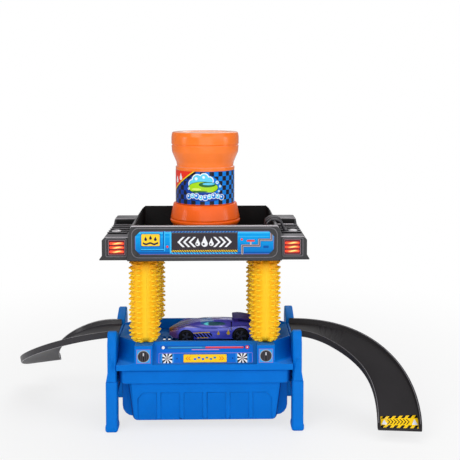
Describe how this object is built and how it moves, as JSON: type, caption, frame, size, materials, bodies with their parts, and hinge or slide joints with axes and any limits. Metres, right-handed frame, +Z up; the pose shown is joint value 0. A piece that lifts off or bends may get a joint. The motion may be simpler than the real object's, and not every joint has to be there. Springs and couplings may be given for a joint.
{
  "type": "toy car wash playset",
  "caption": "Toy car wash: bath deck on legs, brush rollers that carry a roof with a water basin, upturned screw-cap jar, pull-out tray, curved ramps and a small car.",
  "frame": {"origin": "on the floor plane under the middle of the deck", "axes": "+X from the exit ramp to the entrance ramp, +Y away from the viewer, +Z up"},
  "size_m": [0.3539, 0.1351, 0.2497],
  "materials": {
    "blue_plastic": "satin moulded ABS",
    "tray_plastic": "satin moulded ABS",
    "roof_plastic": "fine-grained charcoal",
    "basin_plastic": "matte black",
    "ramp_plastic": "satin black",
    "roller_rubber": "soft satin yellow",
    "post_plastic": "smooth",
    "hose_plastic": "satin black",
    "jar_plastic": "smooth orange",
    "cap_plastic": "smooth deep orange",
    "seal_rubber": "matte",
    "car_paint": "metallic blue-violet",
    "car_glass": "tinted, clear gloss",
    "chassis_plastic": "matte black",
    "tyre_plastic": "matte black",
    "axle_steel": "bright drawn wire"
  },
  "bodies": {
    "base": {"deck": "blue_plastic", "end_frame_left": "blue_plastic", "end_frame_right": "blue_plastic", "leg_front_left": "blue_plastic", "leg_rear_left": "blue_plastic", "leg_front_right": "blue_plastic", "leg_rear_right": "blue_plastic", "roller_post_front_left": "post_plastic", "roller_post_rear_left": "post_plastic", "roller_post_front_right": "post_plastic", "roller_post_rear_right": "post_plastic", "roof_shell": "roof_plastic", "water_basin": "basin_plastic", "roof_hose": "hose_plastic"},
    "tray": {"collection_tray": "tray_plastic"},
    "roller_front_left": {"wash_roller_front_left": "roller_rubber"},
    "roller_rear_left": {"wash_roller_rear_left": "roller_rubber"},
    "roller_front_right": {"wash_roller_front_right": "roller_rubber"},
    "roller_rear_right": {"wash_roller_rear_right": "roller_rubber"},
    "jar_lid": {"jar_cap": "cap_plastic", "jar_seal": "seal_rubber"},
    "jar": {"jar_body": "jar_plastic"},
    "entrance": {"entrance_ramp": "ramp_plastic"},
    "exit": {"exit_ramp": "ramp_plastic"},
    "car": {"car_body": "car_paint", "car_canopy": "car_glass", "car_spoiler": "car_paint", "car_chassis": "chassis_plastic"},
    "front_axle": {"car_axle_front": "axle_steel", "car_wheel_front_left": "tyre_plastic", "car_wheel_front_right": "tyre_plastic"},
    "rear_axle": {"car_axle_rear": "axle_steel", "car_wheel_rear_left": "tyre_plastic", "car_wheel_rear_right": "tyre_plastic"}
  },
  "joints": [
    {"name": "tray_slide", "type": "slide", "parent": "base", "child": "tray", "axis": [0, -1, 0], "range_m": [0, 0.06]},
    {"name": "roller_front_left_spin", "type": "hinge", "parent": "base", "child": "roller_front_left", "pos_m": [-0.0508, -0.029, 0.0743], "axis": [0, 0, 1], "continuous": true},
    {"name": "roller_rear_left_spin", "type": "hinge", "parent": "base", "child": "roller_rear_left", "pos_m": [-0.0508, 0.029, 0.0743], "axis": [0, 0, 1], "continuous": true},
    {"name": "roller_front_right_spin", "type": "hinge", "parent": "base", "child": "roller_front_right", "pos_m": [0.0508, -0.029, 0.0743], "axis": [0, 0, 1], "continuous": true},
    {"name": "roller_rear_right_spin", "type": "hinge", "parent": "base", "child": "roller_rear_right", "pos_m": [0.0508, 0.029, 0.0743], "axis": [0, 0, 1], "continuous": true},
    {"name": "jar_lift", "type": "slide", "parent": "base", "child": "jar_lid", "axis": [0, 0, 1], "range_m": [0, 0.05]},
    {"name": "jar_twist", "type": "hinge", "parent": "jar_lid", "child": "jar", "pos_m": [0, 0, 0.1877], "axis": [0, 0, 1], "range_deg": [0, 90]},
    {"name": "entrance_ramp_lift", "type": "slide", "parent": "base", "child": "entrance", "axis": [0, 0, 1], "range_m": [0, 0.008]},
    {"name": "exit_ramp_lift", "type": "slide", "parent": "base", "child": "exit", "axis": [0, 0, 1], "range_m": [0, 0.008]},
    {"name": "car_roll", "type": "slide", "parent": "base", "child": "car", "axis": [1, 0, 0], "range_m": [-0.026, 0.012]},
    {"name": "front_axle_spin", "type": "hinge", "parent": "car", "child": "front_axle", "pos_m": [-0.0166, 0, 0.0711], "axis": [0, 1, 0], "continuous": true},
    {"name": "rear_axle_spin", "type": "hinge", "parent": "car", "child": "rear_axle", "pos_m": [0.0309, 0, 0.0719], "axis": [0, 1, 0], "continuous": true}
  ],
  "couplings": [
    {"joint": "front_axle_spin", "follows": "car_roll", "rad_per_m": 163.93},
    {"joint": "rear_axle_spin", "follows": "car_roll", "rad_per_m": 144.93}
  ]
}
